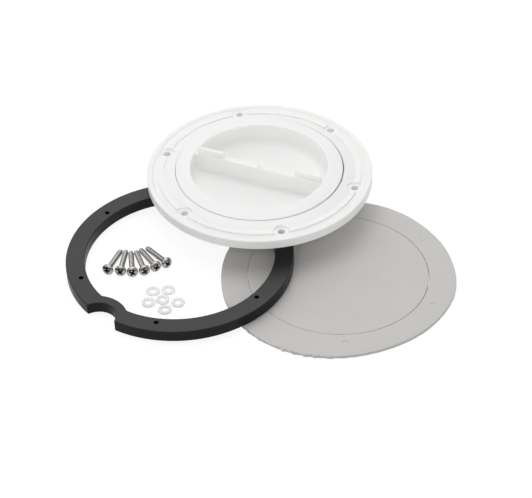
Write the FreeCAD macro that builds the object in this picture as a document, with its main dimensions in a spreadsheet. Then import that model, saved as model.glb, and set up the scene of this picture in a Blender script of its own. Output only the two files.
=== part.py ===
import FreeCAD, Part
import math
import os
import re
import Sketcher
from FreeCAD import Placement, Rotation, Vector

# Screw-in inspection cover for a boat's deck, laid out with the pieces it is fitted with.
# Lengths are in millimetres and angles in degrees. The floor is the plane Z = 0.
# Heights in the cover's own frame count from the flat top of the flange's outer rim.

doc = FreeCAD.newDocument("inspection_cover")

SIZES = {
    # Neck of the deck ring, which passes the hole in the deck: the size of all round it
    "neck_radius": 76.0,
    "neck_wall": 4.8,
    "neck_depth": 21.0,
    # Flange of the deck ring: widths from its mouth out to its rim, and their heights
    "mouth_step": 1.0,
    "mouth_height": 2.0,
    "dome_width": 10.3,
    "dome_bow_radius": 60.0,
    "step_depth": 0.9,
    "ridge_width": 5.1,
    "ridge_inner_height": 0.1,
    "ridge_height": 0.5,
    "channel_width": 4.1,
    "channel_depth": 1.1,
    "channel_slope_width": 1.3,
    "rim_width": 4.2,
    "rim_bevel": 0.6,
    "flange_thickness": 8.4,
    # Screw places, the same circle in the deck ring and the backing ring
    "screw_count": 6.0,
    "screw_circle_outset": 11.5,
    "screw_hole_radius": 3.2,
    "counterbore_radius": 6.8,
    "counterbore_depth": 1.4,
    # Hollows that lighten the underside of the flange
    "core_depth": 3.8,
    "core_wall": 3.0,
    "core_boss_half_angle": 6.0,
    "core_rib_half_angle": 0.8,
    # Lid: rim, and widths from the neck's bore in to the bowl
    "rim_gap": 0.8,
    "lid_edge_height": 2.6,
    "lid_rim_thickness": 4.0,
    "lid_edge_bevel": 0.2,
    "lid_bow_radius": 85.0,
    "skirt_clearance": 0.7,
    "skirt_wall": 2.4,
    "skirt_gap": 2.4,
    "skirt_depth": 16.0,
    "land_height": 3.0,
    "bowl_wall": 3.0,
    "bowl_edge_height": 4.4,
    "bowl_edge_bevel": 0.5,
    "bowl_depth": 18.4,
    "bowl_corner_radius": 7.0,
    # Coarse right-hand thread between the lid's skirt and the neck
    "thread_pitch": 3.0,
    "thread_depth": 1.6,
    "thread_base_width": 1.6,
    "thread_crest_width": 0.7,
    "thread_sink": 0.3,
    "lid_thread_drop": 11.6,
    "lid_thread_height": 6.0,
    "neck_thread_height": 5.0,
    # Grip bar across the bowl
    "bar_thickness": 5.2,
    "bar_drop": 1.2,
    "bar_root_radius": 2.5,
    "end_pad_gap": 2.6,
    "end_pad_length": 24.5,
    "end_pad_thickness": 3.0,
    "end_pad_height": 4.6,
    "nib_radius": 1.7,
    "nib_inset": 0.4,
    "nib_height": 4.2,
    # Rubber ring between the lid's rim and its seat
    "seal_inset": 0.3,
    "seal_width": 2.6,
    "seal_height": 2.4,
    "seal_bevel": 0.7,
    "seal_gap": 0.1,
    # Backing ring: widths from the neck out, and the keyhole notch with the bump inside it
    "backing_passage": 5.8,
    "backing_width": 16.2,
    "backing_thickness": 10.7,
    "backing_edge_bevel": 0.6,
    "pilot_hole_radius": 2.1,
    "notch_radius": 15.8,
    "notch_outset": 3.0,
    "notch_mouth_round": 1.6,
    "notch_wall": 12.2,
    "bump_outset": 6.6,
    "bump_root_round": 5.0,
    # Foam gasket disc with its cut line
    "cut_line_outset": 1.7,
    "cut_line_width": 0.3,
    "gasket_thickness": 3.0,
    # Pan-head screws
    "screw_shank_radius": 2.4,
    "screw_head_overhang": 2.3,
    "screw_head_side": 1.3,
    "screw_crown_width": 1.4,
    "screw_crown_height": 2.6,
    "screw_head_height": 3.1,
    "screw_shank_length": 30.0,
    "screw_point_length": 3.5,
    "screw_tip_radius": 1.2,
    "cross_length": 5.2,
    "cross_width": 1.3,
    "cross_depth": 2.0,
    "cross_taper_angle": 12.0,
    # Nylon washers
    "washer_hole_radius": 2.65,
    "washer_width": 3.35,
    "washer_thickness": 1.0,
    # Where the pieces lie: centres in plan, turns about the vertical, and leans as slopes;
    # the lid hangs a little to one side in the play of its thread
    "cover_x": -0.65,
    "cover_y": 50.8,
    "cover_back_slope": 0.0024,
    "deck_ring_angle": 42.4,
    "lid_angle": -22.5,
    "lid_shift_x": -0.45,
    "lid_shift_y": 0.1,
    "backing_x": -68.7,
    "backing_y": -37.38,
    "backing_angle": -130.8,
    "backing_lean_angle": 30.7,
    "gasket_x": 66.91,
    "gasket_y": -50.82,
    "seat_gap": 0.1,
}

# Sizes that follow from the ones above, in the order in which they are worked out
FOLLOWING = {
    "bore_radius": "neck_radius - neck_wall",
    "recess_radius": "neck_radius - mouth_step",
    "ridge_inner_radius": "recess_radius + dome_width",
    "ridge_outer_radius": "ridge_inner_radius + ridge_width",
    "channel_outer_radius": "ridge_outer_radius + channel_width",
    "rim_inner_radius": "channel_outer_radius + channel_slope_width",
    "flange_radius": "rim_inner_radius + rim_width",
    "screw_circle_radius": "neck_radius + screw_circle_outset",
    "core_inner_radius": "neck_radius + core_wall",
    "core_outer_radius": "flange_radius - core_wall",
    "core_rib_before": "180 / screw_count - core_rib_half_angle",
    "core_rib_after": "180 / screw_count + core_rib_half_angle",
    "core_boss_after": "360 / screw_count - core_boss_half_angle",
    "lid_radius": "recess_radius - rim_gap",
    "lid_underside": "lid_edge_height - lid_rim_thickness",
    "seat_height": "lid_underside - seal_height - seal_gap * 2",
    "land_radius": "bore_radius - skirt_clearance",
    "skirt_radius": "land_radius - thread_depth",
    "skirt_inner_radius": "skirt_radius - skirt_wall",
    "bowl_outer_radius": "skirt_inner_radius - skirt_gap",
    "bowl_radius": "bowl_outer_radius - bowl_wall",
    "bowl_floor": "bowl_edge_height - bowl_depth",
    "bowl_flat_radius": "bowl_radius - bowl_corner_radius",
    "bowl_corner_top": "bowl_floor + bowl_corner_radius",
    "bowl_outer_corner_radius": "bowl_corner_radius + bowl_wall",
    "thread_base_half": "thread_base_width / 2",
    "thread_crest_half": "thread_crest_width / 2",
    "lid_thread_low": "lid_underside - lid_thread_drop",
    "thread_lead_turn": "thread_pitch * (lid_angle - deck_ring_angle) / 360",
    "neck_thread_low": "lid_thread_low - thread_pitch / 2 - thread_lead_turn",
    "bar_half_thickness": "bar_thickness / 2",
    "bar_top": "bowl_edge_height - bar_drop",
    "bar_reach": "bowl_radius + bowl_wall / 2",
    "bar_foot": "bowl_floor - bowl_wall / 2",
    "bar_corner_radius": "bowl_corner_radius + bowl_wall / 2",
    "end_pad_outer": "bowl_radius - end_pad_gap",
    "end_pad_inner": "end_pad_outer - end_pad_length",
    "end_pad_front": "bar_half_thickness - end_pad_thickness",
    "nib_across": "bar_half_thickness - nib_radius - nib_inset",
    "seal_inner_radius": "bore_radius + seal_inset",
    "seal_outer_radius": "seal_inner_radius + seal_width",
    "backing_inner_radius": "neck_radius + backing_passage",
    "backing_radius": "backing_inner_radius + backing_width",
    "notch_centre_radius": "backing_radius + notch_outset",
    "bump_radius": "notch_radius + notch_wall",
    "bump_centre_radius": "backing_radius + bump_outset",
    "pilot_hole_x": "screw_circle_radius * cos(180 deg / screw_count)",
    "pilot_hole_y": "screw_circle_radius * sin(180 deg / screw_count)",
    "cut_line_outer_radius": "neck_radius + cut_line_outset",
    "cut_line_inner_radius": "cut_line_outer_radius - cut_line_width",
    "screw_head_radius": "screw_shank_radius + screw_head_overhang",
    "screw_crown_radius": "screw_head_radius - screw_crown_width",
    "screw_straight_length": "screw_shank_length - screw_point_length",
    "cross_half_length": "cross_length / 2",
    "cross_half_width": "cross_width / 2",
    "washer_radius": "washer_hole_radius + washer_width",
}

# Middles of the screws' fan and of the washers' heap, counted from the middle of the backing
# ring in shares of its inner radius
SCREW_FAN = (-0.452323, -0.091932)
WASHER_HEAP = (-0.156479, -0.552200)

# Each screw: its head counted from the fan's middle in shares of the head's radius, the
# heading of its point and the turn of its cross, in degrees
SCREW_PLACES = [
    (-5.2128, -0.5957, 72.8, 10.0),
    (-2.9362, -0.9362, 85.2, 38.0),
    (-0.7872, -1.2340, 96.0, 62.0),
    (1.3617, -0.8085, 107.0, 25.0),
    (3.3404, 0.2553, 118.4, 75.0),
    (5.2128, 1.2340, 128.2, 50.0),
]

# Each washer: its middle counted from the heap's middle in shares of the washer's radius
WASHER_PLACES = [
    (-1.5500, 1.8250),
    (0.5833, 2.0750),
    (-2.0667, -0.5750),
    (-0.1000, 0.0250),
    (2.0667, -0.5750),
    (0.2833, -2.0750),
]


def make_sheet():
    """Spreadsheet with one named cell for each size."""
    sheet = doc.addObject("Spreadsheet::Sheet", "sizes")
    formulas = {name: "=" + formula for name, formula in FOLLOWING.items()}
    for row, (name, value) in enumerate({**SIZES, **formulas}.items(), start=1):
        sheet.set(f"A{row}", name)
        sheet.set(f"B{row}", str(value))
        sheet.setAlias(f"B{row}", name)
    doc.recompute()
    return sheet


sheet = make_sheet()


def size(name):
    """Value of a named cell."""
    return float(sheet.get(name))


def cells(formula):
    """Formula of named cells, written the way an expression of the document wants it."""
    def full_name(word):
        name = word.group()
        return "sizes." + name if name in SIZES or name in FOLLOWING else name
    return re.sub("[a-z_]+", full_name, formula)


def value_of(formula):
    """Number that a sum of named cells gives."""
    total = 0.0
    sign = 1.0
    for word in formula.split():
        if word in "+-":
            sign = 1.0 if word == "+" else -1.0
        elif word != "0":
            total += sign * size(word)
    return total


def origin_part(body, role):
    """Plane or axis of a body's own origin."""
    return next(part for part in body.Origin.OriginFeatures if part.Role == role)


def new_body(label):
    body = doc.addObject("PartDesign::Body", label)
    body.Label = label
    return body


def new_sketch(body, name, plane):
    sketch = body.newObject("Sketcher::SketchObject", name)
    sketch.AttachmentSupport = [(origin_part(body, plane), "")]
    sketch.MapMode = "FlatFace"
    return sketch


def drive(sketch, index, formula):
    """Binds one constraint of a sketch to named cells."""
    sketch.setExpression(f"Constraints[{index}]", cells(formula))


def fix_point(sketch, edge, point, across, up):
    """Holds a point of an edge at two formulas, measured from the sketch's origin."""
    for kind, formula, axis in (("DistanceX", across, -2), ("DistanceY", up, -1)):
        if formula == "0":
            sketch.addConstraint(Sketcher.Constraint("PointOnObject", edge, point, axis))
        else:
            index = sketch.addConstraint(
                Sketcher.Constraint(kind, -1, 1, edge, point, value_of(formula)))
            drive(sketch, index, formula)


def fix_radius(sketch, edge, formula):
    """Holds the radius of an arc or circle at a formula."""
    index = sketch.addConstraint(Sketcher.Constraint("Radius", edge, value_of(formula)))
    drive(sketch, index, formula)


def draw_outline(sketch, corners, bulges):
    """Closed outline through corners given as two formulas each.

    bulges maps the number of a side to its arc radius and the way it bows: 1 to the left
    of the side's direction and -1 to the right.
    """
    count = len(corners)
    spots = [Vector(value_of(across), value_of(up), 0) for across, up in corners]
    for side in range(count):
        start, end = spots[side], spots[(side + 1) % count]
        if side in bulges:
            radius, way = bulges[side]
            sketch.addGeometry(arc_between(start, end, size(radius) * way), False)
        else:
            sketch.addGeometry(Part.LineSegment(start, end), False)
    ends = [end_order(sketch, side, spots[side]) for side in range(count)]
    for side in range(count):
        following = (side + 1) % count
        sketch.addConstraint(Sketcher.Constraint(
            "Coincident", side, ends[side][1], following, ends[following][0]))
    for side, (across, up) in enumerate(corners):
        fix_point(sketch, side, ends[side][0], across, up)
    for side, (radius, _) in bulges.items():
        fix_radius(sketch, side, radius)


def end_order(sketch, edge, spot):
    """Numbers of an edge's two ends, the one at the spot first."""
    near = sketch.getPoint(edge, 1).distanceToPoint(spot)
    far = sketch.getPoint(edge, 2).distanceToPoint(spot)
    return (1, 2) if near < far else (2, 1)


def arc_between(start, end, radius):
    """Arc from start to end that bows to the left for a positive radius."""
    chord = end - start
    half = chord.Length / 2
    left = Vector(-chord.y, chord.x, 0).normalize()
    reach = abs(radius)
    sagitta = reach - math.sqrt(max(reach * reach - half * half, 0))
    middle = start + chord * 0.5 + left * math.copysign(sagitta, radius)
    return Part.Arc(start, middle, end)


def circle_at(sketch, across, up, radius):
    """Circle whose centre and radius are formulas."""
    centre = Vector(value_of(across), value_of(up), 0)
    edge = sketch.addGeometry(
        Part.Circle(centre, Vector(0, 0, 1), value_of(radius)), False)
    fix_point(sketch, edge, 3, across, up)
    fix_radius(sketch, edge, radius)


def raise_sketch(sketch, height):
    """Lifts a sketch of the XY plane to a height above the body's origin."""
    sketch.setExpression(".AttachmentOffset.Base.z", cells(height))


def revolve(body, name, sketch):
    """Turns a sketch of the XZ plane once about the body's vertical axis."""
    turned = body.newObject("PartDesign::Revolution", name)
    turned.Profile = sketch
    turned.ReferenceAxis = (origin_part(body, "Z_Axis"), [""])
    turned.Angle = 360.0
    doc.recompute()
    return turned


def pocket(body, name, sketch, depth=None, upward=True):
    """Cuts a sketch upwards or downwards, by a depth or right through."""
    cut = body.newObject("PartDesign::Pocket", name)
    cut.Profile = sketch
    cut.Reversed = upward
    if depth is None:
        cut.Type = "ThroughAll"
    else:
        cut.setExpression("Length", cells(depth))
    doc.recompute()
    return cut


def pad(body, name, sketch, height):
    """Raises a sketch by a formula of named cells."""
    raised = body.newObject("PartDesign::Pad", name)
    raised.Profile = sketch
    raised.setExpression("Length", cells(height))
    doc.recompute()
    return raised


def around(body, name, original, count):
    """Repeats a feature round the body's vertical axis."""
    pattern = body.newObject("PartDesign::PolarPattern", name)
    pattern.Originals = [original]
    pattern.Axis = (origin_part(body, "Z_Axis"), [""])
    pattern.Angle = 360.0
    pattern.setExpression("Occurrences", cells(count))
    body.Tip = pattern
    doc.recompute()
    return pattern


def is_ring(edge, radius, height):
    """Whether an edge runs on the vertical axis' circle of this radius and height."""
    curve = edge.Curve
    if curve.TypeId != "Part::GeomCircle":
        return False
    middle = curve.Center
    off_axis = math.hypot(middle.x, middle.y)
    return off_axis < 0.01 and abs(curve.Radius - radius) < 0.01 and abs(middle.z - height) < 0.01


def finish_edges(body, name, test, kind, amount):
    """Fillets or chamfers the edges of the body's last feature that pass a test."""
    base = body.Tip
    names = [f"Edge{i}" for i, edge in enumerate(base.Shape.Edges, start=1) if test(edge)]
    if not names:
        raise RuntimeError(f"{body.Label}: {name} found no edge")
    finish = body.newObject("PartDesign::" + kind, name)
    finish.Base = (base, names)
    finish.setExpression("Radius" if kind == "Fillet" else "Size", cells(amount))
    doc.recompute()
    return finish


def add_thread(body, root, crest, low, height):
    """Right-hand helical ridge on a wall, with its root sunk in so that the two join."""
    outline = new_sketch(body, "thread_outline", "XZ_Plane")
    corners = [
        (root, low + " - thread_base_half"),
        (crest, low + " - thread_crest_half"),
        (crest, low + " + thread_crest_half"),
        (root, low + " + thread_base_half"),
    ]
    draw_outline(outline, corners, {})
    ridge = body.newObject("PartDesign::AdditiveHelix", "thread")
    ridge.Profile = outline
    ridge.ReferenceAxis = (origin_part(body, "Z_Axis"), [""])
    ridge.Mode = "pitch-height-angle"
    ridge.setExpression("Pitch", cells("thread_pitch"))
    ridge.setExpression("Height", cells(height))
    ridge.LeftHanded = False
    doc.recompute()
    return ridge


# Deck ring: flange, recess with the seal's seat, and threaded neck
def make_deck_ring():
    body = new_body("deck_ring")
    profile = new_sketch(body, "flange_and_neck", "XZ_Plane")
    corners = [
        ("flange_radius", "0 - flange_thickness"),
        ("flange_radius", "0"),
        ("rim_inner_radius", "0"),
        ("channel_outer_radius", "0 - channel_depth"),
        ("ridge_outer_radius", "0 - channel_depth"),
        ("ridge_outer_radius", "ridge_height"),
        ("ridge_inner_radius", "ridge_inner_height"),
        ("ridge_inner_radius", "0 - step_depth"),
        ("recess_radius", "mouth_height"),
        ("recess_radius", "seat_height"),
        ("bore_radius", "seat_height"),
        ("bore_radius", "0 - neck_depth"),
        ("neck_radius", "0 - neck_depth"),
        ("neck_radius", "0 - flange_thickness"),
    ]
    draw_outline(profile, corners, {7: ("dome_bow_radius", -1)})
    revolve(body, "flange_and_neck_turned", profile)

    cores = new_sketch(body, "core_outline", "XY_Plane")
    raise_sketch(cores, "0 - flange_thickness")
    draw_sector(cores, "core_boss_half_angle", "core_rib_before")
    draw_sector(cores, "core_rib_after", "core_boss_after")
    core_cut = pocket(body, "cores", cores, "core_depth", upward=True)
    around(body, "cores_around", core_cut, "screw_count")

    bore = new_sketch(body, "counterbore_outline", "XY_Plane")
    raise_sketch(bore, "0 - counterbore_depth")
    circle_at(bore, "screw_circle_radius", "0", "counterbore_radius")
    bore_cut = pocket(body, "counterbore", bore, None, upward=True)
    around(body, "counterbores", bore_cut, "screw_count")

    hole = new_sketch(body, "screw_hole_outline", "XY_Plane")
    raise_sketch(hole, "0 - flange_thickness")
    circle_at(hole, "screw_circle_radius", "0", "screw_hole_radius")
    hole_cut = pocket(body, "screw_hole", hole, None, upward=True)
    around(body, "screw_holes", hole_cut, "screw_count")

    rim = size("flange_radius")
    finish_edges(body, "outer_rim_bevel", lambda edge: is_ring(edge, rim, 0),
                 "Chamfer", "rim_bevel")
    add_thread(body, "bore_radius + thread_sink", "bore_radius - thread_depth",
               "neck_thread_low", "neck_thread_height")
    return body


def draw_sector(sketch, start, end):
    """Outline of one hollow of the flange, between two walls and two angles."""
    inner, outer = "core_inner_radius", "core_outer_radius"
    low, high = math.radians(size(start)), math.radians(size(end))
    up = Vector(0, 0, 1)
    arcs = []
    for name in (inner, outer):
        circle = Part.Circle(Vector(0, 0, 0), up, size(name))
        arcs.append(sketch.addGeometry(Part.ArcOfCircle(circle, low, high), False))
        sketch.addConstraint(Sketcher.Constraint("Coincident", arcs[-1], 3, -1, 1))
        fix_radius(sketch, arcs[-1], name)
    for arc_end, angle, formula in ((1, low, start), (2, high, end)):
        along = Vector(math.cos(angle), math.sin(angle), 0)
        side = sketch.addGeometry(
            Part.LineSegment(along * size(inner), along * size(outer)), False)
        sketch.addConstraint(Sketcher.Constraint("Coincident", arcs[0], arc_end, side, 1))
        sketch.addConstraint(Sketcher.Constraint("Coincident", arcs[1], arc_end, side, 2))
        index = sketch.addConstraint(Sketcher.Constraint("Angle", -1, 1, side, 1, angle))
        drive(sketch, index, formula + " * 1 deg")


# Lid: domed rim, recessed bowl of one wall thickness, threaded skirt and grip bar
def make_lid():
    body = new_body("lid")
    profile = new_sketch(body, "lid_section", "XZ_Plane")
    corners = [
        ("0", "bowl_floor"),
        ("bowl_flat_radius", "bowl_floor"),
        ("bowl_radius", "bowl_corner_top"),
        ("bowl_radius", "bowl_edge_height"),
        ("lid_radius", "lid_edge_height"),
        ("lid_radius", "lid_underside"),
        ("land_radius", "lid_underside"),
        ("land_radius", "lid_underside - land_height"),
        ("skirt_radius", "lid_underside - land_height"),
        ("skirt_radius", "lid_underside - skirt_depth"),
        ("skirt_inner_radius", "lid_underside - skirt_depth"),
        ("skirt_inner_radius", "lid_underside"),
        ("bowl_outer_radius", "lid_underside"),
        ("bowl_outer_radius", "bowl_corner_top"),
        ("bowl_flat_radius", "bowl_floor - bowl_wall"),
        ("0", "bowl_floor - bowl_wall"),
    ]
    bends = {
        1: ("bowl_corner_radius", -1),
        3: ("lid_bow_radius", 1),
        13: ("bowl_outer_corner_radius", 1),
    }
    draw_outline(profile, corners, bends)
    revolve(body, "lid_angleed", profile)
    add_bar(body)
    add_end_pads(body)
    nib = new_sketch(body, "nib_outline", "XY_Plane")
    raise_sketch(nib, "bar_top")
    circle_at(nib, "0", "nib_across", "nib_radius")
    pad(body, "nib", nib, "nib_height")
    finish_lid(body)
    add_thread(body, "skirt_radius - thread_sink", "land_radius",
               "lid_thread_low", "lid_thread_height")
    return body


def add_bar(body):
    """Upright grip bar across the bowl, its foot inside the bowl's wall all the way."""
    outline = new_sketch(body, "bar_outline", "XZ_Plane")
    corners = [
        ("0 - bowl_flat_radius", "bar_foot"),
        ("bowl_flat_radius", "bar_foot"),
        ("bar_reach", "bowl_corner_top"),
        ("bar_reach", "bar_top"),
        ("0 - bar_reach", "bar_top"),
        ("0 - bar_reach", "bowl_corner_top"),
    ]
    bends = {1: ("bar_corner_radius", -1), 5: ("bar_corner_radius", -1)}
    draw_outline(outline, corners, bends)
    bar = pad(body, "bar", outline, "bar_thickness")
    bar.SideType = "Symmetric"
    doc.recompute()


def add_end_pads(body):
    """Raised pad on each end of the bar, flush with the bar's back face."""
    for side, sign in (("left", "0 - "), ("right", "")):
        outline = new_sketch(body, side + "_pad_outline", "XY_Plane")
        raise_sketch(outline, "bar_top")
        corners = [
            (sign + "end_pad_inner", "end_pad_front"),
            (sign + "end_pad_outer", "end_pad_front"),
            (sign + "end_pad_outer", "bar_half_thickness"),
            (sign + "end_pad_inner", "bar_half_thickness"),
        ]
        draw_outline(outline, corners, {})
        pad(body, side + "_end_pad", outline, "end_pad_height")


def finish_lid(body):
    """Root fillets of the bar, and bevels on the lid's two round edges."""
    floor, bar_top = size("bowl_floor"), size("bar_top")
    half = size("bar_half_thickness")
    reach = size("bowl_radius")

    def at_bar_root(edge):
        box = edge.BoundBox
        beside = abs(abs(box.Center.y) - half) < 0.01 and box.YLength < 0.01
        inside = max(abs(box.XMin), abs(box.XMax)) < reach + 0.1
        low = box.ZMin > floor - 0.01 and box.ZMax < bar_top + 0.01
        on_top = box.ZMin > bar_top - 0.01
        return beside and inside and low and not on_top

    finish_edges(body, "bar_roots", at_bar_root, "Fillet", "bar_root_radius")
    for name, radius, height in (("lid_edge", "lid_radius", "lid_edge_height"),
                                 ("bowl_edge", "bowl_radius", "bowl_edge_height")):
        ring = (size(radius), size(height))
        finish_edges(body, name + "_bevelled", lambda edge: is_ring(edge, *ring),
                     "Chamfer", name + "_bevel")


# Rubber ring that the lid's rim presses on the seat, flat where it is pressed
def make_lid_seal():
    body = new_body("lid_seal")
    profile = new_sketch(body, "seal_section", "XZ_Plane")
    top, bottom = "lid_underside - seal_gap", "seat_height + seal_gap"
    corners = [
        ("seal_inner_radius + seal_bevel", bottom),
        ("seal_outer_radius - seal_bevel", bottom),
        ("seal_outer_radius", bottom + " + seal_bevel"),
        ("seal_outer_radius", top + " - seal_bevel"),
        ("seal_outer_radius - seal_bevel", top),
        ("seal_inner_radius + seal_bevel", top),
        ("seal_inner_radius", top + " - seal_bevel"),
        ("seal_inner_radius", bottom + " + seal_bevel"),
    ]
    draw_outline(profile, corners, {})
    revolve(body, "seal_turned", profile)
    return body


# Backing ring, with the bump and keyhole notch on its first axis
def make_backing_ring():
    body = new_body("backing_ring")
    outline = new_sketch(body, "ring_outline", "XY_Plane")
    draw_notched_circle(outline, "backing_radius", "notch_radius", "notch_centre_radius")
    draw_notched_circle(outline, "backing_inner_radius", "bump_radius", "bump_centre_radius")
    pad(body, "ring_raised", outline, "backing_thickness")

    hole = new_sketch(body, "pilot_hole_outline", "XY_Plane")
    circle_at(hole, "pilot_hole_x", "pilot_hole_y", "pilot_hole_radius")
    cut = pocket(body, "pilot_hole", hole, None, upward=True)
    around(body, "pilot_holes", cut, "screw_count")

    tall = size("backing_thickness")
    hole_circle = size("screw_circle_radius")
    hole_width = size("pilot_hole_radius") * 2

    def upright_at(radius):
        def test(edge):
            box = edge.BoundBox
            off_axis = math.hypot(box.Center.x, box.Center.y)
            return abs(box.ZLength - tall) < 0.01 and abs(off_axis - radius) < 0.01
        return test

    def on_a_face(edge):
        box = edge.BoundBox
        at_hole = abs(math.hypot(box.Center.x, box.Center.y) - hole_circle) < 0.1
        small = max(box.XLength, box.YLength) < hole_width + 0.1
        return box.ZLength < 0.01 and not (at_hole and small)

    finish_edges(body, "notch_mouth", upright_at(size("backing_radius")),
                 "Fillet", "notch_mouth_round")
    finish_edges(body, "bump_roots", upright_at(size("backing_inner_radius")),
                 "Fillet", "bump_root_round")
    finish_edges(body, "ring_edges", on_a_face, "Chamfer", "backing_edge_bevel")
    return body


def draw_notched_circle(sketch, radius, bite_radius, bite_centre):
    """Circle about the origin with a round bite whose centre is on the first axis."""
    large, bite, across = size(radius), size(bite_radius), size(bite_centre)
    reach = (across ** 2 + large ** 2 - bite ** 2) / (2 * across)
    up = math.sqrt(large ** 2 - reach ** 2)
    axis = Vector(0, 0, 1)
    turn = math.atan2(up, reach)
    bite_turn = math.atan2(up, reach - across)
    whole = 2 * math.pi
    outer = sketch.addGeometry(Part.ArcOfCircle(
        Part.Circle(Vector(0, 0, 0), axis, large), turn, whole - turn), False)
    inner = sketch.addGeometry(Part.ArcOfCircle(
        Part.Circle(Vector(across, 0, 0), axis, bite), bite_turn, whole - bite_turn), False)
    sketch.addConstraint(Sketcher.Constraint("Coincident", outer, 3, -1, 1))
    fix_point(sketch, inner, 3, bite_centre, "0")
    for end in (1, 2):
        sketch.addConstraint(Sketcher.Constraint("Coincident", outer, end, inner, end))
    fix_radius(sketch, outer, radius)
    fix_radius(sketch, inner, bite_radius)


# Foam disc, cut through along a circle into the gasket and the middle that is pushed out
def make_gasket_ring():
    body = new_body("gasket_ring")
    outline = new_sketch(body, "gasket_outline", "XY_Plane")
    circle_at(outline, "0", "0", "flange_radius")
    circle_at(outline, "0", "0", "cut_line_outer_radius")
    pad(body, "gasket_raised", outline, "gasket_thickness")
    return body


def make_gasket_centre():
    body = new_body("gasket_centre")
    outline = new_sketch(body, "centre_outline", "XY_Plane")
    circle_at(outline, "0", "0", "cut_line_inner_radius")
    pad(body, "centre_raised", outline, "gasket_thickness")
    return body


# Pan-head screw that stands on its point: the underside of its head is at its origin
def make_screw():
    body = new_body("screw_form")
    profile = new_sketch(body, "screw_section", "XZ_Plane")
    corners = [
        ("0", "0 - screw_shank_length"),
        ("screw_tip_radius", "0 - screw_shank_length"),
        ("screw_shank_radius", "0 - screw_straight_length"),
        ("screw_shank_radius", "0"),
        ("screw_head_radius", "0"),
        ("screw_head_radius", "screw_head_side"),
        ("screw_crown_radius", "screw_crown_height"),
        ("0", "screw_head_height"),
    ]
    draw_outline(profile, corners, {})
    revolve(body, "screw_turned", profile)

    recess = new_sketch(body, "cross_outline", "XY_Plane")
    raise_sketch(recess, "screw_head_height")
    draw_cross(recess)
    cut = pocket(body, "cross_recess", recess, "cross_depth", upward=False)
    cut.setExpression("TaperAngle", cells("0 - cross_taper_angle"))
    doc.recompute()
    return body


def draw_cross(sketch):
    """Cross of two equal slots about the origin."""
    long, narrow = "cross_half_length", "cross_half_width"
    quarter = [
        ((1, long), (-1, narrow)), ((1, long), (1, narrow)), ((1, narrow), (1, narrow)),
    ]
    corners = []
    for _ in range(4):
        for across, up in quarter:
            corners.append(["0 - " + name if way < 0 else name for way, name in (across, up)])
        quarter = [((-up[0], up[1]), across) for across, up in quarter]
    draw_outline(sketch, corners, {})


def make_washer():
    body = new_body("washer_form")
    outline = new_sketch(body, "washer_outline", "XY_Plane")
    circle_at(outline, "0", "0", "washer_radius")
    circle_at(outline, "0", "0", "washer_hole_radius")
    pad(body, "washer_raised", outline, "washer_thickness")
    return body


def scatter(label, form, placements):
    """One sub-part made of separate copies of a form, each at its own place."""
    copies = []
    for number, place in enumerate(placements, start=1):
        copy = doc.addObject("App::Link", f"{label}_{number}")
        copy.LinkedObject = form
        copy.Placement = place
        copies.append(copy)
    group = doc.addObject("Part::Compound", label)
    group.Label = label
    group.Links = copies
    return group


# Where the pieces lie
def leaning(slope_x, slope_y):
    """Rotation that tips a level plane so that it rises by these slopes along X and Y."""
    across = Vector(1, 0, slope_x).normalize()
    normal = Vector(-slope_x, -slope_y, 1).normalize()
    return Rotation(across, normal.cross(across), normal, "ZXY")


def turned(name):
    return Rotation(Vector(0, 0, 1), size(name))


def crossings(centre_a, radius_a, centre_b, radius_b):
    """The two points where two circles of the plan cross."""
    between = centre_b - centre_a
    reach = (between.Length ** 2 + radius_a ** 2 - radius_b ** 2) / (2 * between.Length)
    half = math.sqrt(max(radius_a ** 2 - reach ** 2, 0))
    along = Vector(between).normalize()
    aside = Vector(-along.y, along.x, 0)
    middle = centre_a + along * reach
    return [middle + aside * half, middle - aside * half]


def backing_place():
    """Backing ring: one edge on the floor, and its underside on the gasket's edge."""
    centre = Vector(size("backing_x"), size("backing_y"), 0)
    gasket = Vector(size("gasket_x"), size("gasket_y"), 0)
    outer, inner = size("backing_radius"), size("backing_inner_radius")
    direction = math.radians(size("backing_lean_angle"))
    uphill = Vector(math.cos(direction), math.sin(direction), 0)
    low = centre - uphill * outer
    touch = []
    for radius in (outer, inner):
        touch += crossings(gasket, size("flange_radius"), centre, radius)
    run = min((spot - low).dot(uphill) for spot in touch)
    slope = (size("gasket_thickness") + size("seat_gap")) / run
    height = outer * math.sin(math.atan(slope))
    lean = leaning(slope * uphill.x, slope * uphill.y)
    return Placement(centre + Vector(0, 0, height), lean * turned("backing_angle"))


def cover_place(backing):
    """Cover: its neck stands on the backing ring's edge at two points."""
    centre = Vector(size("cover_x"), size("cover_y"), 0)
    top = backing.multVec(Vector(0, 0, size("backing_thickness")))
    up = backing.Rotation.multVec(Vector(0, 0, 1))
    edge = size("backing_radius") - size("backing_edge_bevel")
    spots = crossings(centre, size("neck_radius"), Vector(top.x, top.y, 0), edge)
    heights = []
    for spot in spots:
        ring = top.z - (up.x * (spot.x - top.x) + up.y * (spot.y - top.y)) / up.z
        back = size("cover_back_slope") * (spot.y - centre.y)
        heights.append(ring + size("seat_gap") + size("neck_depth") - back)
    slope = (heights[1] - heights[0]) / (spots[1].x - spots[0].x)
    height = heights[0] - slope * (spots[0].x - centre.x)
    lean = leaning(slope, size("cover_back_slope"))
    return Placement(centre + Vector(0, 0, height), lean)


def in_ring(middle, share_x, share_y, unit):
    """Spot on the floor: a heap's middle in the backing ring, and a step in units from it."""
    inner, step = size("backing_inner_radius"), size(unit)
    across = size("backing_x") + middle[0] * inner + share_x * step
    return Vector(across, size("backing_y") + middle[1] * inner + share_y * step, 0)


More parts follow.
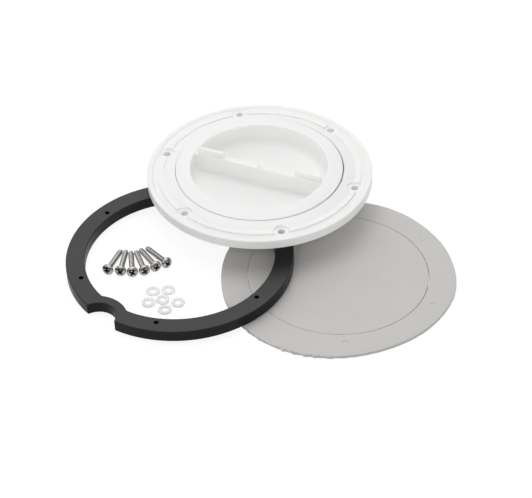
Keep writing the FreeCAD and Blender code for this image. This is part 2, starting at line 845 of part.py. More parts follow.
def screw_place(share_x, share_y, heading, roll):
    """Screw lying on the rim of its head and on the end of its full thread."""
    head = size("screw_head_radius")
    dip = math.degrees(math.atan2(
        head - size("screw_shank_radius"), size("screw_straight_length")))
    spot = in_ring(SCREW_FAN, share_x, share_y, "screw_head_radius")
    lift = Vector(0, 0, head * math.cos(math.radians(dip)))
    tip_down = Rotation(Vector(0, 1, 0), -(90 - dip))
    facing = Rotation(Vector(0, 0, 1), heading)
    rolled = Rotation(Vector(0, 0, 1), roll)
    return Placement(spot + lift, facing * tip_down * rolled)


def washer_place(share_x, share_y):
    return Placement(in_ring(WASHER_HEAP, share_x, share_y, "washer_radius"), Rotation())


def lay_out():
    """Builds every sub-part and puts it where it lies."""
    backing = backing_place()
    cover = cover_place(backing)
    lid = cover * Placement(Vector(size("lid_shift_x"), size("lid_shift_y"), 0), Rotation())
    gasket = Placement(Vector(size("gasket_x"), size("gasket_y"), 0), Rotation())
    screws = [screw_place(*spot) for spot in SCREW_PLACES]
    washers = [washer_place(*spot) for spot in WASHER_PLACES]
    placed = [
        (make_deck_ring(), cover * Placement(Vector(), turned("deck_ring_angle"))),
        (make_lid(), lid * Placement(Vector(), turned("lid_angle"))),
        (make_lid_seal(), lid),
        (make_backing_ring(), backing),
        (make_gasket_ring(), gasket),
        (make_gasket_centre(), gasket),
        (scatter("screws", make_screw(), screws), Placement()),
        (scatter("washers", make_washer(), washers), Placement()),
    ]
    for piece, place in placed:
        piece.Placement = place
    doc.recompute()
    return [piece for piece, _ in placed]


def check(pieces):
    """Stops where a feature failed or a sub-part has no sound solid."""
    for thing in doc.Objects:
        if "Invalid" in thing.State or "Error" in thing.State:
            raise RuntimeError(f"{thing.Name} failed: {thing.State}")
    for piece in pieces:
        if piece.Shape.isNull() or not piece.Shape.isValid() or not piece.Shape.Solids:
            raise RuntimeError(f"{piece.Label} has no sound solid")


def save(pieces):
    """Writes each sub-part to a STEP file named after it."""
    os.makedirs("parts", exist_ok=True)
    for piece in pieces:
        piece.Shape.exportStep(f"parts/{piece.Label}.step")
        print(piece.Label, len(piece.Shape.Solids), "solids,", round(piece.Shape.Volume), "mm3")


sub_parts = lay_out()
check(sub_parts)
save(sub_parts)
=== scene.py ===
import math

import bmesh
import bpy
from mathutils import Matrix, Vector, noise


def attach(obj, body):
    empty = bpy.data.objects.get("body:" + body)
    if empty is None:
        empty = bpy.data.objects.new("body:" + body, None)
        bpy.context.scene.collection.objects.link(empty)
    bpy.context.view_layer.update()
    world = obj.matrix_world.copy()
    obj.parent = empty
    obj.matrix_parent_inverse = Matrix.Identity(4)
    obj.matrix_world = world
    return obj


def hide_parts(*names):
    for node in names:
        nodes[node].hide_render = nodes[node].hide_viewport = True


# Looks of a screw-in inspection cover laid out with its backing ring, foam gasket, screws and
# washers, in the frame's own axes. The scene is in metres. Meshes are made in millimetres.

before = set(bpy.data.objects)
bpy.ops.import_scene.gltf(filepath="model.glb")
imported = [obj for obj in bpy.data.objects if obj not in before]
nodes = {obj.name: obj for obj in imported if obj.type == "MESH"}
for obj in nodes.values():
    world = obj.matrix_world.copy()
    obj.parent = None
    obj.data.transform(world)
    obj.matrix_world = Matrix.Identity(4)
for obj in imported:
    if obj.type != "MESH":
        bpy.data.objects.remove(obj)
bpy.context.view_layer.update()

MM = 0.001
KIT = "laid_out_kit"

# Finishes of the CAD nodes that are seen as they are
CAD_LOOKS = {
    "deck_ring": "white_moulding",
    "lid": "white_moulding",
    "lid_seal": "seal_rubber",
    "backing_ring": "black_moulding",
}

# Camera: the photograph's angle, with a long lens
CAMERA_AT = (0.00501, -1.2214, 1.0062)
CAMERA_AIM = (0.00501, -0.01502, 0.0)
CAMERA_LENS = 121.8
CAMERA_SENSOR = 36.0

# Surroundings: strength of their light at the horizon and overhead
SKY_LOW = 1.08
SKY_HIGH = 0.0

# Dim room that is mirrored low on the camera's side: its strength, and the sums of a
# direction's Y and Z between which it gives way to white
ROOM = 0.08
ROOM_FROM = -0.75
ROOM_TO = 0.05

# Lamps: place and size in metres, and power in watts
LAMPS = {
    "overhead": ((0.0, 0.2, 1.6), 1.4, 9.9),
    "from_behind": ((-0.3, 0.95, 1.2), 1.6, 6.6),
    "in_front": ((-0.35, -1.35, 0.85), 1.0, 3.0),
}
DIFFUSE_BOUNCES = 12

FLOOR_REACH = 6.0
FLOOR_DEPTH = 0.05 * MM
FLOOR_GREY = 0.8
FLOOR_SEEN_GREY = 0.25
FLOOR_SEEN_GLOW = 0.85

# Looks: the part of a texture's range over which colour and roughness run, and how far red,
# green and blue light goes inside a pale plastic, as shares
TEXTURE_LOW = 0.3
TEXTURE_HIGH = 0.7
SCATTER_SHARES = (1.0, 1.0, 0.9)
BEVEL_SAMPLES = 6

# Sockets of a Mix node that take its share and its two numbers
MIX_SOCKETS = (0, 2, 3)

# Meshes: the angle in degrees past which an edge is sharp, the radius in millimetres under
# which a lathe's row is a point, steps round a screw head or washer, and steps of an eased
# corner
SHARP_ANGLE = 35.0
POINT_RADIUS = 1e-6
ROUND_STEPS = 72
EASE_STEPS = 3

# Points nearer than these distances in millimetres become one, after a cut and in a thread
CUT_WELD = 0.001
THREAD_WELD = 0.0005

# Gasket, in millimetres: a foam disc cut by hand, with a ring die-cut through it. Its middle
# lies a little to the left in the ring. The share says how near an eased edge comes to its
# corner, and the steps and rings how finely the meshes are divided.
GASKET_CENTRE = (66.91, -50.82)
GASKET_RADIUS = 100.0
GASKET_CUT_OUTER = 77.7
GASKET_CUT_INNER = 77.4
GASKET_THICKNESS = 3.0
GASKET_EDGE = 0.35
GASKET_EDGE_SHARE = 0.3
GASKET_SLACK = 0.1
GASKET_STEPS = 900
GASKET_RINGS = 9
MIDDLE_STEPS = 480
MIDDLE_RINGS = 24

# Slit screw holes: place round the disc and side of the hole that is cut, in degrees, and
# depth in millimetres
SLITS = [
    (-88.0, 92.0, 1.3),
    (-28.0, 112.0, 0.55),
    (32.0, 212.0, 0.25),
    (92.0, 272.0, 0.9),
    (152.0, 332.0, 0.9),
    (212.0, 32.0, 0.9),
]

# All slits, in millimetres: the circle that they lie on, their radius and width, how much of
# a hole they go round in degrees, in how many steps a side, and how far the cutter stands out
SLIT_CIRCLE = 88.5
SLIT_RADIUS = 3.4
SLIT_WIDTH = 0.34
SLIT_SWEEP = 150.0
SLIT_STEPS = 12
SLIT_CUTTER_ABOVE = 2.0

# Where the disc was cut too large: middle and half width in degrees, height in millimetres
BULGES = [(-122.0, 66.0, 5.8), (-13.0, 24.0, 1.2), (62.0, 30.0, 1.4)]

# Where its edge is frayed: middle and half width in degrees, largest height in millimetres.
# It frays in tufts, given by their frequency and a power, and in fibres.
FRAYED = (-110.0, 46.0, 1.9)
TUFTS = 31
TUFT_POWER = 0.8
FIBRES = [(85, 0.25)]

# Noises that make the foam's edge and face uneven: frequency, and height in millimetres. The
# edge's also change with the height up the disc, by a share.
EDGE_NOISES = [(22, 0.22), (70, 0.12)]
EDGE_NOISE_RISE = 0.06
FACE_NOISES = [(0.035, 0.14), (0.12, 0.03)]

# Screws, in millimetres: centre of the head in plan, heading of the point and turn of the
# cross, in degrees
SCREWS = [
    (-130.2, -47.7, 71.6, 10.0),
    (-119.5, -49.3, 84.4, 38.0),
    (-109.4, -50.7, 95.8, 62.0),
    (-99.3, -48.7, 107.5, 25.0),
    (-90.1, -43.7, 119.2, 75.0),
    (-81.0, -39.0, 128.2, 50.0),
]

# Head: its side, as shares of its radius and height, and the arc of its crown in degrees. The
# arc stops short of the middle, which the cross takes away.
HEAD_RADIUS = 5.0
HEAD_HEIGHT = 3.2
HEAD_SIDE = [(0, 0), (0.96, 0), (0.99, 0.03), (1, 0.1), (1, 0.32)]
CROWN_START = 0.32
CROWN_POWER = 0.85
CROWN_ARC = range(9, 90, 9)

# Cross in the head: the shares of its length and width at its bottom, and at the cutter's top
CROSS_LENGTH = 6.2
CROSS_WIDTH = 1.75
CROSS_DEPTH = 2.7
CROSS_EASE = 0.4
CROSS_BOTTOM = (0.45, 0.6)
CROSS_TOP = (1.12, 1.08)
CROSS_CUTTER_ABOVE = 0.5

# Shank, which goes a little way into the head. One turn of its thread is given as shares of
# the pitch and of the thread's height.
SHANK_RADIUS = 2.45
SHANK_LENGTH = 30.0
SHANK_IN_HEAD = 0.4
POINT_LENGTH = 3.5
POINT_POWER = 0.8
TIP_SHARE = 0.5
THREAD_ROOT = 1.85
THREAD_PITCH = 1.9
THREAD_STEPS = 32
THREAD_PROFILE = [(0.0, 0), (0.42, 0), (0.66, 1), (0.76, 1)]

# Washers, in millimetres: centres in plan
WASHERS = [
    (-90.8, -71.6),
    (-78.0, -70.1),
    (-93.9, -86.0),
    (-82.1, -82.4),
    (-69.1, -86.0),
    (-79.8, -95.0),
]
WASHER_RADIUS = 6.0
WASHER_HOLE = 2.65
WASHER_THICKNESS = 1.0
WASHER_EDGE = 0.25


# Materials
class Tree:
    """Short ways to build one tree of shader nodes."""

    def __init__(self, tree):
        self.tree = tree

    def node(self, kind, **values):
        made = self.tree.nodes.new(kind)
        for name, value in values.items():
            setattr(made, name, value)
        return made

    def feed(self, socket, value):
        """Gives a socket a number or colour, or links another node's output to it."""
        if isinstance(value, bpy.types.NodeSocket):
            self.tree.links.new(value, socket)
        else:
            socket.default_value = value

    def maths(self, operation, one, other):
        made = self.node("ShaderNodeMath", operation=operation)
        self.feed(made.inputs[0], one)
        self.feed(made.inputs[1], other)
        return made.outputs[0]

    def mapped(self, value, start, end, low, high):
        """Maps the numbers from start to end to those from low to high, and stops there."""
        made = self.node("ShaderNodeMapRange")
        self.feed(made.inputs["Value"], value)
        self.feed(made.inputs["From Min"], start)
        self.feed(made.inputs["From Max"], end)
        self.feed(made.inputs["To Min"], low)
        self.feed(made.inputs["To Max"], high)
        return made.outputs["Result"]

    def mixed(self, share, one, other):
        """Number that goes from one to the other as the share goes from 0 to 1."""
        made = self.node("ShaderNodeMix")
        for number, value in zip(MIX_SOCKETS, (share, one, other)):
            self.feed(made.inputs[number], value)
        return made.outputs[0]

    def ray(self, *kinds):
        """1 for a ray of any of these kinds, and otherwise 0."""
        path = self.node("ShaderNodeLightPath")
        total = path.outputs[kinds[0]]
        for kind in kinds[1:]:
            total = self.maths("MAXIMUM", total, path.outputs[kind])
        return total


class Look(Tree):
    """A material made of nodes round one Principled shader. The colour and roughness that it
    starts with hold where no node is linked to the shader's own sockets."""

    def __init__(self, name, colour, roughness):
        self.material = bpy.data.materials.new(name)
        self.material.use_nodes = True
        super().__init__(self.material.node_tree)
        self.shader = self.tree.nodes["Principled BSDF"]
        self.put("Base Color", (*colour, 1))
        self.put("Roughness", roughness)
        self.place = self.node("ShaderNodeTexCoord").outputs["Object"]

    def put(self, name, value):
        """Gives one of the shader's sockets a value, or a node's output."""
        self.feed(self.shader.inputs[name], value)

    def grain(self, scale, detail):
        """Noise of a number of grains per metre."""
        made = self.node("ShaderNodeTexNoise")
        self.feed(made.inputs["Scale"], scale)
        self.feed(made.inputs["Detail"], detail)
        self.feed(made.inputs["Vector"], self.place)
        return made.outputs["Fac"]

    def cells(self, scale):
        """Distance to the middle of a cell of a foam-like pattern."""
        made = self.node("ShaderNodeTexVoronoi")
        self.feed(made.inputs["Scale"], scale)
        self.feed(made.inputs["Vector"], self.place)
        return made.outputs["Distance"]

    def upward(self):
        """1 on a face that looks up, 0 on an upright one and -1 underneath."""
        split = self.node("ShaderNodeSeparateXYZ")
        self.feed(split.inputs[0], self.node("ShaderNodeNewGeometry").outputs["Normal"])
        return split.outputs["Z"]

    def tint(self, value, dark, light, edge=None):
        """Colour that runs from dark to light with a texture, and to another at value 0."""
        ramp = self.node("ShaderNodeValToRGB")
        low, high = ramp.color_ramp.elements
        low.position = TEXTURE_LOW
        low.color = (*dark, 1)
        high.position = TEXTURE_HIGH
        high.color = (*light, 1)
        if edge:
            ramp.color_ramp.elements.new(0.0).color = (*edge, 1)
        self.feed(ramp.inputs["Fac"], value)
        self.put("Base Color", ramp.outputs["Color"])

    def vary_roughness(self, value, low, high):
        self.put("Roughness", self.mapped(value, TEXTURE_LOW, TEXTURE_HIGH, low, high))

    def scatter(self, weight, reach):
        """Light that comes out again near where it went in, within a reach in metres."""
        self.put("Subsurface Weight", weight)
        self.put("Subsurface Radius", SCATTER_SHARES)
        self.put("Subsurface Scale", reach)

    def bump(self, height, depth, strength, under=None):
        """Bump of a depth in metres, laid over another one."""
        made = self.node("ShaderNodeBump")
        self.feed(made.inputs["Strength"], strength)
        self.feed(made.inputs["Distance"], depth)
        self.feed(made.inputs["Height"], height)
        if under:
            self.feed(made.inputs["Normal"], under)
        self.put("Normal", made.outputs["Normal"])
        return made.outputs["Normal"]

    def bevel(self, radius):
        """Normals that run smoothly over an edge, for the small roundings of a moulding."""
        made = self.node("ShaderNodeBevel", samples=BEVEL_SAMPLES)
        self.feed(made.inputs["Radius"], radius)
        return made.outputs["Normal"]


def white_moulding():
    look = Look("white_moulding", (0.965, 0.965, 0.95), 0.38)
    look.tint(look.grain(14.0, 3.0), (0.955, 0.958, 0.94), (0.97, 0.972, 0.958))
    look.vary_roughness(look.grain(160.0, 4.0), 0.33, 0.45)
    look.put("IOR", 1.49)
    look.scatter(weight=0.6, reach=2.0 * MM)
    edge = look.bevel(0.35 * MM)
    look.bump(look.grain(900.0, 3.0), depth=0.01 * MM, strength=0.6, under=edge)
    return look.material


def black_moulding():
    """Faces that look up get more specular than upright ones, a painted sheen: tops lighter and
    sides darker, as the light falls. A plain value stands where that link isn't kept.
    """
    look = Look("black_moulding", (0.012, 0.012, 0.0125), 0.42)
    look.tint(look.grain(30.0, 4.0), (0.0075, 0.0075, 0.0082), (0.0115, 0.0115, 0.0126))
    look.put("Specular IOR Level", 0.25)
    # Painted sheen: more specular on faces that look up and less on the sides, standing in for
    # light and shade
    painted_sheen = look.mapped(look.upward(), start=0.2, end=0.9, low=0.11, high=0.32)
    look.put("Specular IOR Level", painted_sheen)
    look.vary_roughness(look.grain(260.0, 4.0), 0.32, 0.38)
    edge = look.bevel(0.5 * MM)
    look.bump(look.grain(1400.0, 4.0), depth=0.012 * MM, strength=0.6, under=edge)
    return look.material


def grey_foam():
    """Its edge, which faces sideways, is painted darker than its face, as shade."""
    look = Look("grey_foam", (0.62, 0.61, 0.59), 0.92)
    # Painted shade: faces that turn away from straight up run to the darker third colour, as if
    # in shade; the grain is the foam's own mottle
    cut = look.mapped(look.upward(), start=0.2, end=0.8, low=-0.6, high=0.0)
    mottle_and_painted_shade = look.maths("ADD", look.grain(45.0, 5.0), cut)
    look.tint(mottle_and_painted_shade, (0.645, 0.635, 0.619), (0.665, 0.655, 0.640), (0.56, 0.55, 0.533))
    look.put("Specular IOR Level", 0.25)
    pores = look.bump(look.cells(1900.0), depth=0.05 * MM, strength=0.5)
    look.bump(look.grain(300.0, 4.0), depth=0.08 * MM, strength=0.5, under=pores)
    return look.material


def stainless():
    look = Look("stainless", (0.5, 0.49, 0.475), 0.2)
    look.tint(look.grain(500.0, 3.0), (0.3, 0.29, 0.28), (0.42, 0.41, 0.395))
    look.put("Metallic", 1.0)
    look.vary_roughness(look.grain(1500.0, 4.0), 0.14, 0.26)
    look.bump(look.grain(3000.0, 2.0), depth=0.006 * MM, strength=0.4)
    return look.material


# Dark metal for the screws' cross recesses: painted shade, darker than the steel, where the
# recess lies in shadow
def recess_painted_shade():
    look = Look("recess_painted_shade", (0.06, 0.058, 0.055), 0.5)
    look.tint(look.grain(900.0, 3.0), (0.045, 0.043, 0.041), (0.085, 0.082, 0.078))
    look.put("Metallic", 1.0)
    look.vary_roughness(look.grain(1500.0, 4.0), 0.4, 0.6)
    return look.material


def natural_nylon():
    look = Look("natural_nylon", (0.95, 0.95, 0.935), 0.4)
    look.tint(look.grain(200.0, 3.0), (0.96, 0.96, 0.95), (0.98, 0.98, 0.972))
    look.put("Specular IOR Level", 0.25)
    look.scatter(weight=0.5, reach=0.8 * MM)
    look.vary_roughness(look.grain(700.0, 3.0), 0.4, 0.55)
    look.bump(look.grain(1200.0, 2.0), depth=0.01 * MM, strength=0.5)
    return look.material


def seal_rubber():
    look = Look("seal_rubber", (0.02, 0.02, 0.02), 0.6)
    look.tint(look.grain(120.0, 3.0), (0.017, 0.017, 0.017), (0.026, 0.026, 0.026))
    look.bump(look.grain(900.0, 3.0), depth=0.02 * MM, strength=0.5)
    return look.material


looks = {
    "white_moulding": white_moulding(),
    "black_moulding": black_moulding(),
    "grey_foam": grey_foam(),
    "stainless": stainless(),
    "recess_painted_shade": recess_painted_shade(),
    "natural_nylon": natural_nylon(),
    "seal_rubber": seal_rubber(),
}


# Mesh helpers, in millimetres until a mesh is finished
def finished(shape, name, place):
    """Mesh in metres at its place, with smooth faces and edges that stay sharp."""
    bmesh.ops.recalc_face_normals(shape, faces=shape.faces)
    for face in shape.faces:
        face.smooth = True
    mesh = bpy.data.meshes.new(name)
    shape.to_mesh(mesh)
    shape.free()
    mesh.transform(Matrix.Scale(MM, 4) @ place)
    mesh.set_sharp_from_angle(angle=math.radians(SHARP_ANGLE))
    return mesh


def add_piece(name, mesh, look, node, recess_shade_look=None):
    """What was cut into it may look different, such as the painted shade of a screw's recess."""
    made = bpy.data.objects.new(name, mesh)
    bpy.context.scene.collection.objects.link(made)
    for finish in (look, recess_shade_look or look):
        mesh.materials.append(looks[finish])
    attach(made, KIT)
    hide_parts(node)


def on_circle(radius, turn, height=0.0):
    """Point at a turn in radians round Z."""
    return Vector((radius * math.cos(turn), radius * math.sin(turn), height))


def eased(corners, radius):
    """Closed outline with each corner run over in a small curve."""
    points = []
    for number, corner in enumerate(corners):
        corner = Vector(corner)
        before = (Vector(corners[number - 1]) - corner).normalized() * radius
        after = (Vector(corners[(number + 1) % len(corners)]) - corner).normalized() * radius
        for step in range(EASE_STEPS + 1):
            share = step / EASE_STEPS
            points.append(corner + before * (1 - share) ** 2 + after * share ** 2)
    return points


def lathe(section, count, closed=False):
    """Surface turned about Z from (radius, height) pairs. A radius of 0 makes a point."""
    shape = bmesh.new()
    rows = []
    for radius, height in section:
        turns = [2 * math.pi * step / count for step in range(count)]
        if radius < POINT_RADIUS:
            turns = [0.0]
        rows.append([shape.verts.new(on_circle(radius, turn, height)) for turn in turns])
    if closed:
        rows.append(rows[0])
    for low, high in zip(rows, rows[1:]):
        stitch(shape, low, high, count)
    return shape


def stitch(shape, low, high, count):
    """Faces between two rows of a lathe, either of which may be one point."""
    for step in range(count):
        after = (step + 1) % count
        if len(low) == 1:
            shape.faces.new((low[0], high[after], high[step]))
        elif len(high) == 1:
            shape.faces.new((low[step], low[after], high[0]))
        else:
            shape.faces.new((low[step], low[after], high[after], high[step]))


def prism(low, high):
    """Closed solid between two outlines of as many points."""
    shape = bmesh.new()
    rows = [[shape.verts.new(point) for point in row] for row in (low, high)]
    stitch(shape, rows[0], rows[1], len(low))
    shape.faces.new(rows[0])
    shape.faces.new(rows[1])
    bmesh.ops.recalc_face_normals(shape, faces=shape.faces)
    return shape


def carved(shape, cutter):
    """The shape with the cutter's taken out of it. What is cut gets the second material, and
    faces of many corners and stray slivers are cleaned up."""
    for face in cutter.faces:
        face.material_index = 1
    objects = []
    for name, part in (("blank", shape), ("cutter", cutter)):
        bmesh.ops.recalc_face_normals(part, faces=part.faces)
        mesh = bpy.data.meshes.new(name)
        part.to_mesh(mesh)
        part.free()
        for slot in range(2):
            mesh.materials.append(None)
        made = bpy.data.objects.new(name, mesh)
        bpy.context.scene.collection.objects.link(made)
        objects.append(made)
    blank, tool = objects
    cut = blank.modifiers.new("cut", "BOOLEAN")
    cut.object = tool
    cut.operation = "DIFFERENCE"
    cut.solver = "EXACT"
    depsgraph = bpy.context.evaluated_depsgraph_get()
    result = bmesh.new()
    result.from_mesh(blank.evaluated_get(depsgraph).to_mesh())
    for made in objects:
        mesh = made.data
        bpy.data.objects.remove(made)
        bpy.data.meshes.remove(mesh)
    bmesh.ops.triangulate(result, faces=[face for face in result.faces if len(face.verts) > 4])
    bmesh.ops.remove_doubles(result, verts=result.verts, dist=CUT_WELD)
    bmesh.ops.dissolve_degenerate(result, dist=CUT_WELD, edges=result.edges)
    return result


def joined(shapes):
    """One shape that holds all of them."""
    whole = bmesh.new()
    for shape in shapes:
        mesh = bpy.data.meshes.new("part")
        shape.to_mesh(mesh)
        shape.free()
        whole.from_mesh(mesh)
        bpy.data.meshes.remove(mesh)
    return whole


# Gasket
def uneven(spot, noises):
    """Sum of noises, each of a frequency and a height."""
    return sum(noise.noise(spot * often) * most for often, most in noises)


def swell(turn, middle, half, most):
    """Height of a soft bulge at a turn in radians, for its middle and half width in degrees."""
    away = (math.degrees(turn) - middle + 180) % 360 - 180
    if abs(away) >= half:
        return 0.0
    return most * math.cos(math.pi / 2 * away / half) ** 2


def foam_reach(turn, height):
    """How far the disc's edge lies outside its circle, with its bulges and small rags."""
    reach = sum(swell(turn, *bulge) for bulge in BULGES)
    spot = on_circle(1.0, turn, height * EDGE_NOISE_RISE)
    frays = max(noise.noise(spot * TUFTS), 0) ** TUFT_POWER + uneven(spot, FIBRES)
    return reach + uneven(spot, EDGE_NOISES) + swell(turn, *FRAYED) * frays


def lie_as_foam(shape):
    """Moves a flat disc's edge out as foam_reach says, and its face up and down a little."""
    for vert in shape.verts:
        radius = vert.co.xy.length
        turn = math.atan2(vert.co.y, vert.co.x)
        share = (radius - GASKET_CUT_OUTER) / (GASKET_RADIUS - GASKET_CUT_OUTER)
        if share > 0:
            radius += foam_reach(turn, vert.co.z) * share ** 2
        rise = uneven(Vector((vert.co.x, vert.co.y, 0)), FACE_NOISES)
        height = vert.co.z + rise * vert.co.z / GASKET_THICKNESS
        vert.co = on_circle(radius, turn, height)


def disc_section(inner, outer, rings):
    """Outside, top and inside of the section of a foam ring with eased edges."""
    high = GASKET_THICKNESS
    edge = GASKET_EDGE
    near = GASKET_EDGE_SHARE * edge
    outside = [(outer - edge, 0), (outer - near, near), (outer, edge),
               (outer, high / 2), (outer, high - edge), (outer - near, high - near)]
    top = [(outer - edge - (outer - inner - 2 * edge) * step / rings, high)
           for step in range(rings + 1)]
    inside = [(inner + near, high - near), (inner, high - edge), (inner, edge),
              (inner + edge, 0)]
    return outside, top, inside


def slit_cutter(turn, side, depth):
    """Thin arc that is cut into the face where a screw hole goes."""
    middle = on_circle(SLIT_CIRCLE, math.radians(turn))
    outline = []
    for radius, way in ((SLIT_RADIUS, 1), (SLIT_RADIUS - SLIT_WIDTH, -1)):
        for step in range(-SLIT_STEPS, SLIT_STEPS + 1):
            sweep = SLIT_SWEEP / 2 * way * step / SLIT_STEPS
            outline.append(middle + on_circle(radius, math.radians(side + sweep)))
    low = Vector((0, 0, GASKET_THICKNESS - depth))
    high = Vector((0, 0, GASKET_THICKNESS + SLIT_CUTTER_ABOVE))
    return prism([point + low for point in outline], [point + high for point in outline])


def add_gasket():
    outside, top, inside = disc_section(GASKET_CUT_OUTER, GASKET_RADIUS, GASKET_RINGS)
    ring = lathe(outside + top + inside, GASKET_STEPS, closed=True)
    lie_as_foam(ring)
    ring = carved(ring, joined([slit_cutter(*slit) for slit in SLITS]))
    place = Matrix.Translation((*GASKET_CENTRE, 0))
    add_piece("foam_gasket", finished(ring, "foam_gasket", place), "grey_foam", "gasket_ring")

    outside, top = disc_section(0.0, GASKET_CUT_INNER, MIDDLE_RINGS)[:2]
    section = [(0, 0)] + outside + top[:-1] + [(0, GASKET_THICKNESS)]
    centre = lathe(section, MIDDLE_STEPS)
    lie_as_foam(centre)
    place = Matrix.Translation((GASKET_CENTRE[0] - GASKET_SLACK, GASKET_CENTRE[1], 0))
    add_piece("foam_centre", finished(centre, "foam_centre", place), "grey_foam", "gasket_centre")


# Screws
def cross_outline(shares, height):
    """Cross with eased inner corners, for shares of its length and width, at a height."""
    long = CROSS_LENGTH / 2 * shares[0]
    narrow = CROSS_WIDTH / 2 * shares[1]
    ease = narrow * CROSS_EASE
    outline = []
    for quarter in range(4):
        turn = Matrix.Rotation(math.pi / 2 * quarter, 3, "Z")
        for across, up in ((long, -narrow), (long, narrow), (narrow + ease, narrow),
                           (narrow, narrow + ease)):
            outline.append(turn @ Vector((across, up, height)))
    return outline


def screw_head():
    """Pan head with a tapered cross recess, its bearing face at height 0."""
    crown = []
    for turn in CROWN_ARC:
        up = CROWN_START + (1 - CROWN_START) * math.sin(math.radians(turn)) ** CROWN_POWER
        crown.append((math.cos(math.radians(turn)), up))
    section = [(across * HEAD_RADIUS, up * HEAD_HEIGHT) for across, up in HEAD_SIDE + crown]
    cutter = prism(cross_outline(CROSS_BOTTOM, HEAD_HEIGHT - CROSS_DEPTH),
                   cross_outline(CROSS_TOP, HEAD_HEIGHT + CROSS_CUTTER_ABOVE))
    return carved(lathe(section, ROUND_STEPS), cutter)


def screw_shank():
    """Shank below the head, with a coarse thread that runs down to a blunt point."""
    low = -SHANK_LENGTH
    high = SHANK_IN_HEAD
    turns = math.ceil((high - low) / THREAD_PITCH) + 1
    shape = bmesh.new()
    line = []
    for number in range((turns + 1) * THREAD_STEPS):
        turn = 2 * math.pi * number / THREAD_STEPS
        start = low + THREAD_PITCH * (number / THREAD_STEPS - 1)
        for share, rise in THREAD_PROFILE:
            height = min(max(start + share * THREAD_PITCH, low), high)
            inside = low < height < high
            radius = THREAD_ROOT + (SHANK_RADIUS - THREAD_ROOT) * rise * inside
            narrowing = min((height - low) / POINT_LENGTH, 1.0)
            radius *= TIP_SHARE + (1 - TIP_SHARE) * narrowing ** POINT_POWER
            line.append(shape.verts.new(on_circle(radius, turn, height)))
    size = len(THREAD_PROFILE)
    for first in range(turns * THREAD_STEPS * size):
        above = first + 1
        if above % size == 0:
            above += (THREAD_STEPS - 1) * size
        beside = first + size
        corner = above + size
        if corner < len(line):
            shape.faces.new((line[first], line[beside], line[corner], line[above]))
    bmesh.ops.remove_doubles(shape, verts=shape.verts, dist=THREAD_WELD)
    bmesh.ops.dissolve_degenerate(shape, dist=THREAD_WELD, edges=shape.edges)
    bmesh.ops.holes_fill(shape, edges=shape.edges, sides=0)
    return shape


def add_screws():
    """Each screw lies on its head's edge and its thread, just above its point."""
    dip = math.atan2(HEAD_RADIUS - SHANK_RADIUS, SHANK_LENGTH - POINT_LENGTH)
    blank = joined([screw_head(), screw_shank()])
    for number, (across, along, heading, roll) in enumerate(SCREWS, start=1):
        name = f"screw_{number}"
        place = (Matrix.Translation((across, along, HEAD_RADIUS * math.cos(dip)))
                 @ Matrix.Rotation(math.radians(heading), 4, "Z")
                 @ Matrix.Rotation(dip - math.pi / 2, 4, "Y")
                 @ Matrix.Rotation(math.radians(roll), 4, "Z"))
        mesh = finished(blank.copy(), name, place)
        # The cross recess gets the painted shade
        add_piece(name, mesh, "stainless", "screws", recess_shade_look="recess_painted_shade")
    blank.free()


# Washers
def add_washers():
    outer = WASHER_RADIUS
    inner = WASHER_HOLE
    high = WASHER_THICKNESS
    section = eased([(inner, 0), (outer, 0), (outer, high), (inner, high)], WASHER_EDGE)
    blank = lathe(section, ROUND_STEPS, closed=True)
    for number, (across, along) in enumerate(WASHERS, start=1):
        name = f"washer_{number}"
        mesh = finished(blank.copy(), name, Matrix.Translation((across, along, 0)))
        add_piece(name, mesh, "natural_nylon", "washers")
    blank.free()


# Stage
def grey(shade):
    """Opaque colour of a shade of grey from 0 to 1."""
    return (shade, shade, shade, 1)


def floor_look():
    """Plain grey for the light that it throws back, and almost white where it is seen."""
    material = bpy.data.materials.new("floor")
    material.use_nodes = True
    material.node_tree.nodes.clear()
    tree = Tree(material.node_tree)
    plain = tree.node("ShaderNodeBsdfDiffuse")
    tree.feed(plain.inputs["Color"], grey(FLOOR_GREY))
    shaded = tree.node("ShaderNodeBsdfDiffuse")
    tree.feed(shaded.inputs["Color"], grey(FLOOR_SEEN_GREY))
    glow = tree.node("ShaderNodeEmission")
    tree.feed(glow.inputs["Strength"], FLOOR_SEEN_GLOW)
    seen = tree.node("ShaderNodeAddShader")
    tree.feed(seen.inputs[0], shaded.outputs[0])
    tree.feed(seen.inputs[1], glow.outputs[0])
    mix = tree.node("ShaderNodeMixShader")
    directly = tree.ray("Is Camera Ray", "Is Glossy Ray", "Is Transmission Ray")
    tree.feed(mix.inputs[0], directly)
    tree.feed(mix.inputs[1], plain.outputs[0])
    tree.feed(mix.inputs[2], seen.outputs[0])
    out = tree.node("ShaderNodeOutputMaterial")
    tree.feed(out.inputs["Surface"], mix.outputs[0])
    return material


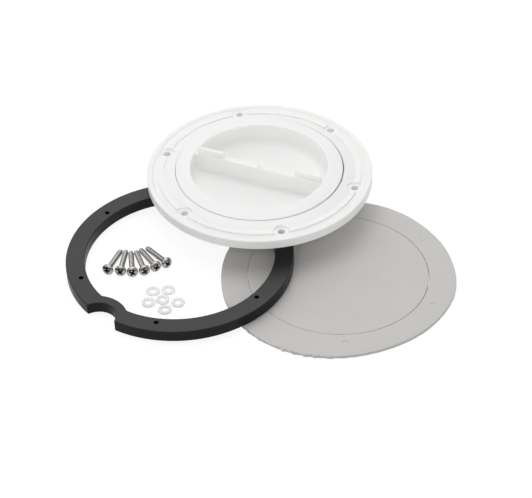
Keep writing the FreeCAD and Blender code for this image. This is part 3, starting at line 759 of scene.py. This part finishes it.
def add_floor():
    """Large pale floor that still takes the object's shadow."""
    shape = bmesh.new()
    bmesh.ops.create_grid(shape, x_segments=1, y_segments=1, size=FLOOR_REACH)
    mesh = bpy.data.meshes.new("floor")
    shape.to_mesh(mesh)
    shape.free()
    floor = bpy.data.objects.new("floor", mesh)
    floor.location = (0, 0, -FLOOR_DEPTH)
    bpy.context.scene.collection.objects.link(floor)
    floor.data.materials.append(floor_look())


def set_world():
    """Soft surroundings that light most from the horizon. They are seen as white, and
    mirrored as white with a dim room low on the camera's side."""
    world = bpy.data.worlds.new("studio")
    bpy.context.scene.world = world
    world.use_nodes = True
    tree = Tree(world.node_tree)
    sky = world.node_tree.nodes["Background"]
    tree.feed(sky.inputs["Color"], grey(1))
    way = tree.node("ShaderNodeSeparateXYZ")
    tree.feed(way.inputs[0], tree.node("ShaderNodeTexCoord").outputs["Generated"])
    light = tree.mapped(way.outputs["Z"], 0.0, 1.0, SKY_LOW, SKY_HIGH)
    slope = tree.maths("ADD", way.outputs["Y"], way.outputs["Z"])
    room = tree.mapped(slope, ROOM_FROM, ROOM_TO, ROOM, 1.0)
    mirrored = tree.mixed(tree.ray("Is Glossy Ray"), light, room)
    shown = tree.mixed(tree.ray("Is Camera Ray", "Is Transmission Ray"), mirrored, 1.0)
    tree.feed(sky.inputs["Strength"], shown)


def aimed(thing, at, aim):
    """Puts a lamp or the camera at a place, turned to a point."""
    thing.location = at
    thing.rotation_mode = "QUATERNION"
    thing.rotation_quaternion = (Vector(aim) - Vector(at)).to_track_quat("-Z", "Y")
    bpy.context.scene.collection.objects.link(thing)


def add_lamp(name, at, size, power):
    data = bpy.data.lights.new(name, "AREA")
    data.size = size
    data.energy = power
    aimed(bpy.data.objects.new(name, data), at, (0, 0, 0))


def add_camera():
    data = bpy.data.cameras.new("camera")
    data.sensor_width = CAMERA_SENSOR
    data.lens = CAMERA_LENS
    camera = bpy.data.objects.new("camera", data)
    aimed(camera, CAMERA_AT, CAMERA_AIM)
    bpy.context.scene.camera = camera


for name, look in CAD_LOOKS.items():
    nodes[name].data.materials.clear()
    nodes[name].data.materials.append(looks[look])

add_gasket()
add_screws()
add_washers()

bpy.context.scene.view_settings.view_transform = "Standard"
bpy.context.scene.cycles.diffuse_bounces = DIFFUSE_BOUNCES
add_camera()
set_world()
add_floor()
for name, (at, size, power) in LAMPS.items():
    add_lamp(name, at, size, power)
